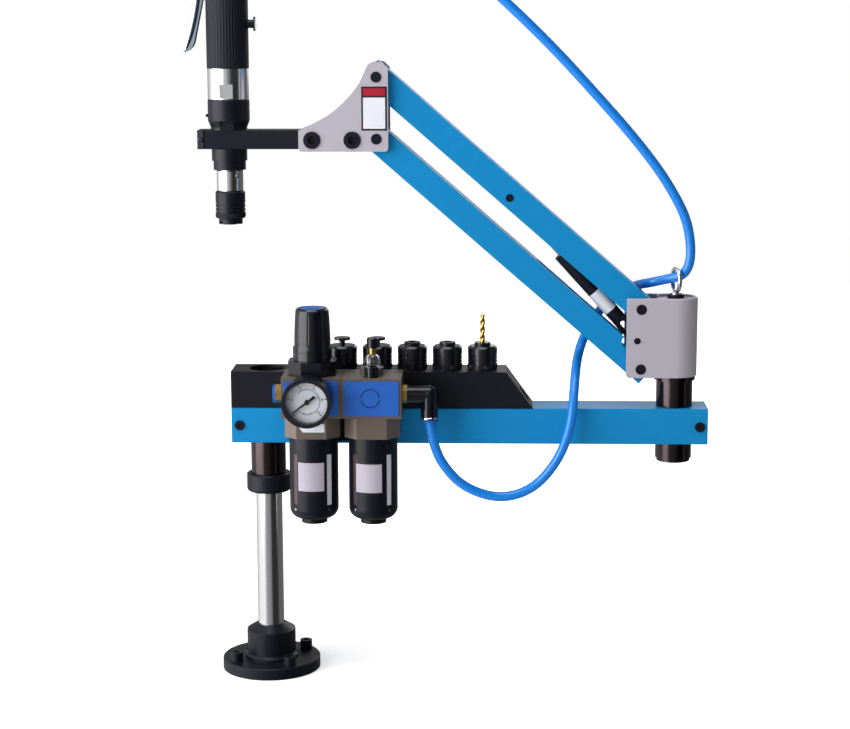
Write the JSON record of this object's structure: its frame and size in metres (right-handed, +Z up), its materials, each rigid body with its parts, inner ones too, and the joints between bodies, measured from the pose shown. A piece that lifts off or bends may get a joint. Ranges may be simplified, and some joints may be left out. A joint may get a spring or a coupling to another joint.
{
  "type": "arm tapping machine",
  "caption": "Pneumatic tapping machine on a bench column: a swinging beam carries a parallel arm with an upright air motor and quick-change chuck, an air unit and a tray of tap collets.",
  "frame": {"origin": "centre of the base flange's underside, on the bench top", "axes": "+Z up along the column, +X along the beam from the column to the head, -Y towards the side with the air preparation unit"},
  "size_m": [0.5441, 0.1595, 0.8795],
  "materials": {
    "grey_casting": "satin",
    "chrome": "polished",
    "black_steel": "satin",
    "blue_paint": "gloss",
    "black_sheet": "matte",
    "bronze_casting": "satin",
    "blue_plastic": "gloss",
    "black_guard": "satin",
    "clear_plastic": "clear",
    "black_plastic": "satin",
    "white_dial": "matte",
    "brass": "satin",
    "gold_drill": "satin",
    "steel": "brushed",
    "rubber": "matte",
    "blue_hose": "gloss"
  },
  "bodies": {
    "base": {"base_flange": "black_steel", "flange_bolts": "black_steel", "column": "chrome"},
    "height_ring": {"height_ring": "black_steel"},
    "beam": {"beam_tube": "blue_paint", "beam_end_caps": "black_steel", "beam_sleeves": "black_steel", "tool_tray": "black_sheet", "frl_bracket": "black_sheet", "regulator_body": "bronze_casting", "lubricator_body": "bronze_casting", "front_plates": "blue_plastic", "bowl_guards": "black_guard", "bowls": "clear_plastic", "regulator_bonnet": "black_plastic", "gauge_case": "black_steel", "gauge_dial": "white_dial", "sight_glasses": "clear_plastic", "oil_plug": "black_plastic", "brass_nipples": "brass", "elbow_fitting": "black_plastic", "release_rings": "blue_plastic", "hose_lower": "blue_hose"},
    "drain": {"drain_valve": "black_plastic"},
    "knob": {"regulator_knob": "black_plastic"},
    "needle": {"gauge_needle": "black_plastic"},
    "adjuster": {"drip_adjuster": "black_plastic"},
    "tap_1": {"tap_collet_1": "black_steel"},
    "tap_2": {"tap_collet_2": "black_steel"},
    "tap_3": {"tap_collet_3": "black_steel"},
    "tap_4": {"tap_collet_4": "black_steel"},
    "tap_5": {"tap_collet_5": "black_steel"},
    "tap_6": {"tap_collet_6": "black_steel", "twist_drill": "gold_drill"},
    "head": {"head_casting": "grey_casting", "head_pins": "black_steel", "pivot_shaft": "steel", "eye_bolt": "chrome", "hose_upper": "blue_hose"},
    "upper_arm": {"upper_arm": "blue_paint", "gas_spring_pin": "black_steel"},
    "lower_arm": {"lower_arm": "blue_paint"},
    "gas_cylinder": {"gas_cylinder": "black_steel"},
    "gas_rod": {"gas_rod": "steel"},
    "tool_head": {"front_bracket": "grey_casting", "bracket_fasteners": "black_steel", "tool_bar": "black_steel", "nose_piece": "black_steel", "lock_nut": "black_steel", "motor_housing": "steel", "motor_grip": "rubber", "back_head": "black_steel", "motor_inlet": "brass"},
    "lever": {"throttle_lever": "chrome"},
    "valve": {"valve_stem": "brass"},
    "button": {"reverse_button": "black_plastic"},
    "rotor": {"motor_rotor": "steel"},
    "spindle": {"spindle": "steel"},
    "sleeve": {"quick_change_sleeve": "steel"},
    "chuck": {"chuck_collet": "black_steel"}
  },
  "joints": [
    {"name": "height_slide", "type": "slide", "parent": "base", "child": "height_ring", "axis": [0, 0, 1], "range_m": [-0.12, 0.03]},
    {"name": "beam_swing", "type": "hinge", "parent": "height_ring", "child": "beam", "pos_m": [0, 0, 0.2155], "axis": [0, 0, 1], "range_deg": [-180, 180]},
    {"name": "head_swing", "type": "hinge", "parent": "beam", "child": "head", "pos_m": [0.43, 0, 0.32], "axis": [0, 0, 1], "range_deg": [-180, 180], "deforming": ["hose_lower"]},
    {"name": "arm_lift", "type": "hinge", "parent": "head", "child": "upper_arm", "pos_m": [0.393, 0, 0.395], "axis": [0, 1, 0], "range_deg": [-15, 20], "deforming": ["hose_upper"]},
    {"name": "lower_arm_pivot", "type": "hinge", "parent": "head", "child": "lower_arm", "pos_m": [0.393, 0, 0.332], "axis": [0, 1, 0], "range_deg": [-15, 20]},
    {"name": "bracket_pivot", "type": "hinge", "parent": "upper_arm", "child": "tool_head", "pos_m": [0.1187, 0, 0.63428], "axis": [0, 1, 0], "range_deg": [-20, 15]},
    {"name": "gas_pivot", "type": "hinge", "parent": "head", "child": "gas_cylinder", "pos_m": [0.389, 0, 0.362], "axis": [0, 1, 0], "range_deg": [-13.29, 17.72]},
    {"name": "gas_stroke", "type": "slide", "parent": "gas_cylinder", "child": "gas_rod", "axis": [-0.6689, 0, 0.7434], "range_m": [-0.0062, 0.00826]},
    {"name": "throttle", "type": "hinge", "parent": "tool_head", "child": "lever", "pos_m": [-0.062, 0, 0.742], "axis": [0, -1, 0], "range_deg": [0, 4.5], "stiffness_Nm_per_rad": 2, "springref_deg": -8.59},
    {"name": "valve_push", "type": "slide", "parent": "tool_head", "child": "valve", "axis": [1, 0, 0], "range_m": [0, 0.0021]},
    {"name": "reverse_push", "type": "slide", "parent": "tool_head", "child": "button", "axis": [-1, 0, 0], "range_m": [0, 0.003], "stiffness_N_per_m": 800, "springref_m": -0.001},
    {"name": "spindle_spin", "type": "hinge", "parent": "tool_head", "child": "spindle", "pos_m": [-0.0355, 0, 0.55], "axis": [0, 0, 1], "continuous": true},
    {"name": "rotor_spin", "type": "hinge", "parent": "tool_head", "child": "rotor", "pos_m": [-0.0355, 0, 0.64], "axis": [0, 0, 1], "continuous": true},
    {"name": "sleeve_slide", "type": "slide", "parent": "spindle", "child": "sleeve", "axis": [0, 0, 1], "range_m": [0, 0.003], "stiffness_N_per_m": 600, "springref_m": -0.001},
    {"name": "chuck_release", "type": "slide", "parent": "spindle", "child": "chuck", "axis": [0, 0, -1], "range_m": [0, 0.03]},
    {"name": "regulator_turn", "type": "hinge", "parent": "beam", "child": "knob", "pos_m": [0.0532, -0.053, 0.38], "axis": [0, 0, 1], "range_deg": [-720, 720]},
    {"name": "gauge_turn", "type": "hinge", "parent": "beam", "child": "needle", "pos_m": [0.051, -0.1, 0.311], "axis": [0, 1, 0], "range_deg": [0, 270], "stiffness_Nm_per_rad": 0.003, "springref_deg": -2.86},
    {"name": "drip_turn", "type": "hinge", "parent": "beam", "child": "adjuster", "pos_m": [0.115, -0.053, 0.365], "axis": [0, 0, 1], "range_deg": [0, 270]},
    {"name": "drain_push", "type": "slide", "parent": "beam", "child": "drain", "axis": [0, 0, 1], "range_m": [0, 0.002], "stiffness_N_per_m": 300, "springref_m": -0.0005},
    {"name": "tap_1_lift", "type": "slide", "parent": "beam", "child": "tap_1", "axis": [0, 0, 1], "range_m": [0, 0.035]},
    {"name": "tap_2_lift", "type": "slide", "parent": "beam", "child": "tap_2", "axis": [0, 0, 1], "range_m": [0, 0.035]},
    {"name": "tap_3_lift", "type": "slide", "parent": "beam", "child": "tap_3", "axis": [0, 0, 1], "range_m": [0, 0.035]},
    {"name": "tap_4_lift", "type": "slide", "parent": "beam", "child": "tap_4", "axis": [0, 0, 1], "range_m": [0, 0.035]},
    {"name": "tap_5_lift", "type": "slide", "parent": "beam", "child": "tap_5", "axis": [0, 0, 1], "range_m": [0, 0.035]},
    {"name": "tap_6_lift", "type": "slide", "parent": "beam", "child": "tap_6", "axis": [0, 0, 1], "range_m": [0, 0.035]}
  ],
  "couplings": [
    {"joint": "lower_arm_pivot", "follows": "arm_lift", "ratio": 1},
    {"joint": "bracket_pivot", "follows": "arm_lift", "ratio": -1},
    {"joint": "gas_pivot", "follows": "arm_lift", "ratio": 0.8853},
    {"joint": "gas_stroke", "follows": "arm_lift", "m_per_rad": 0.02364},
    {"joint": "valve_push", "follows": "throttle", "m_per_rad": 0.026},
    {"joint": "rotor_spin", "follows": "spindle_spin", "ratio": 5}
  ]
}
